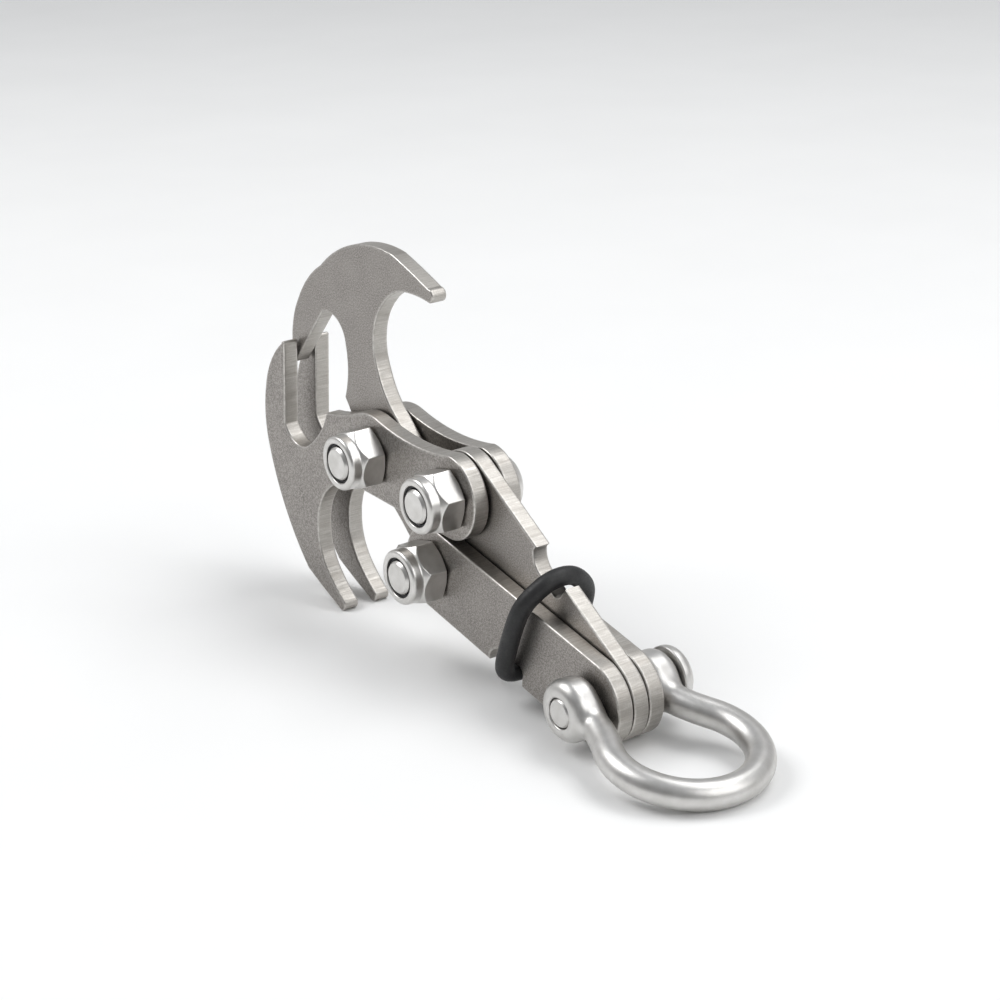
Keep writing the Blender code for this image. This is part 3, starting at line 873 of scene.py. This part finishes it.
def add_fasteners():
    """Bolt, lock nut and insert at each pivot of the linkage, and spacers between the claw plates."""
    sets = (("main", MAIN, CLAW_CHEEK, "lower_jaw", radians(-13)),
            ("upper", UPPER, CLAW_CHEEK, "lower_jaw", radians(-16)),
            ("lower", LOWER, LINK_CHEEK, "lower_link", radians(-16)))
    for prefix, centre, cheek, body, phase in sets:
        seat = cheek + PLATE
        add(bolt(f"{prefix}_pivot_bolt", centre, seat, phase),
            f"{prefix}_bolt", body, FASTENER)
        add(lock_nut(f"{prefix}_lock_nut", centre, seat, phase),
            f"{prefix}_nut", body, FASTENER)
        add(collar_insert(f"{prefix}_collar_insert", centre, seat),
            f"{prefix}_insert", body, NYLON)
    for prefix, centre in (("main", MAIN), ("upper", UPPER)):
        for side, sign in (("near", -1), ("far", 1)):
            low = sign * (MIDDLE_FACE + (CLAW_CHEEK - MIDDLE_FACE - WASHER) / 2)
            low, high = sorted((low, low + sign * WASHER))
            add(washer(f"{prefix}_spacer_{side}", centre, low, high),
                f"{prefix}_washer_{side}", "lower_jaw", WASHER_STEEL)


def add_shackle_and_ring():
    """Shackle bow and pin, and the rubber ring, which stretches between the two links."""
    add(shackle_bow("bow"), "shackle_bow", "shackle", SHACKLE_STEEL)
    add(shackle_pin("pin", SHACKLE), "shackle_pin", "shackle", SHACKLE_STEEL)
    ring = add(lock_ring("rubber_ring"), "lock_ring", None, RUBBER)
    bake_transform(ring)


# ---------------------------------------------------------------- studio

FLOOR_HALF = 3.0
LIGHT_AIM = (0, 0, 0.02)


def add_floor():
    size = FLOOR_HALF
    corners = [(-size, -size, 0), (size, -size, 0), (size, size, 0), (-size, size, 0)]
    mesh = bpy.data.meshes.new("floor")
    mesh.from_pydata(corners, [], [(0, 1, 2, 3)])
    made = bpy.data.objects.new("floor", mesh)
    bpy.context.scene.collection.objects.link(made)
    made.data.materials.append(floor_material("pale_floor"))


def add_light(name, place, size, power):
    """Soft area light aimed at the middle of the object."""
    data = bpy.data.lights.new(name, 'AREA')
    data.shape = 'RECTANGLE'
    data.size, data.size_y = size
    data.energy = power
    made = bpy.data.objects.new(name, data)
    made.location = place
    made.rotation_euler = (Vector(LIGHT_AIM) - Vector(place)).to_track_quat('-Z', 'Y').to_euler()
    bpy.context.scene.collection.objects.link(made)


def add_world():
    """Soft surround: bright behind the object, dim on the camera's side, even overhead."""
    world = bpy.data.worlds.new("studio")
    bpy.context.scene.world = world
    world.use_nodes = True
    tree = world.node_tree
    background = tree.nodes["Background"]
    way = node(tree, "ShaderNodeTexCoord").outputs["Generated"]
    parts = node(tree, "ShaderNodeSeparateXYZ", {0: way})
    height = remap(tree, parts.outputs["Z"], -0.1, 1.0, 0, 1)
    sweep = node(tree, "ShaderNodeVectorMath", {0: way, 1: (0.75, -0.55, 0.0)},
                 operation='DOT_PRODUCT').outputs[1]
    panel = node(tree, "ShaderNodeMapRange", {"Value": sweep, "From Min": -0.2, "From Max": 0.35,
                                              "To Min": 0.66, "To Max": 0.12},
                 interpolation_type='SMOOTHSTEP').outputs[0]
    lift = mix_value(tree, height, panel, 0.45)
    tree.links.new(mix_colour(tree, height, (1.0, 0.99, 0.98, 1), (0.93, 0.96, 1.0, 1)),
                   background.inputs["Color"])
    tree.links.new(lift, background.inputs["Strength"])


# Camera: where it looks from, and the main pivot's place along its right, up and forward axes
AZIMUTH, ELEVATION, ROLL = radians(53.971), radians(20.451), radians(-1.682)
LENS = 86.4
SENSOR = 36.0
PIVOT_IN_VIEW = np.array([-18.78, 8.944, 422.544])


def add_camera():
    right = np.array([cos(AZIMUTH), sin(AZIMUTH), 0])
    up = np.array([-sin(ELEVATION) * sin(AZIMUTH), sin(ELEVATION) * cos(AZIMUTH), cos(ELEVATION)])
    forward = np.array([-cos(ELEVATION) * sin(AZIMUTH), cos(ELEVATION) * cos(AZIMUTH), -sin(ELEVATION)])
    turned_right = cos(ROLL) * right + sin(ROLL) * up
    turned_up = -sin(ROLL) * right + cos(ROLL) * up
    rows = np.stack([turned_right, turned_up, forward])
    place = (np.array([MAIN[0], 0, MAIN[1]]) - rows.T @ PIVOT_IN_VIEW) * MM
    data = bpy.data.cameras.new("camera")
    data.sensor_width = SENSOR
    data.lens = LENS
    data.clip_start = 0.01
    made = bpy.data.objects.new("camera", data)
    bpy.context.scene.collection.objects.link(made)
    axes = [[turned_right[k], turned_up[k], -forward[k], place[k]] for k in range(3)]
    made.matrix_world = Matrix(axes + [[0, 0, 0, 1]])
    bpy.context.scene.camera = made


add_plates()
add_fasteners()
add_shackle_and_ring()
add_floor()
add_world()
add_light("key", (-0.45, -0.45, 0.75), (0.5, 0.5), 3.8)
add_light("right", (0.75, 0.25, 0.5), (0.8, 0.65), 3.2)
add_light("top", (0.1, 0.35, 0.8), (0.6, 0.4), 2.4)
add_camera()
bpy.context.scene.view_settings.view_transform = 'Standard'
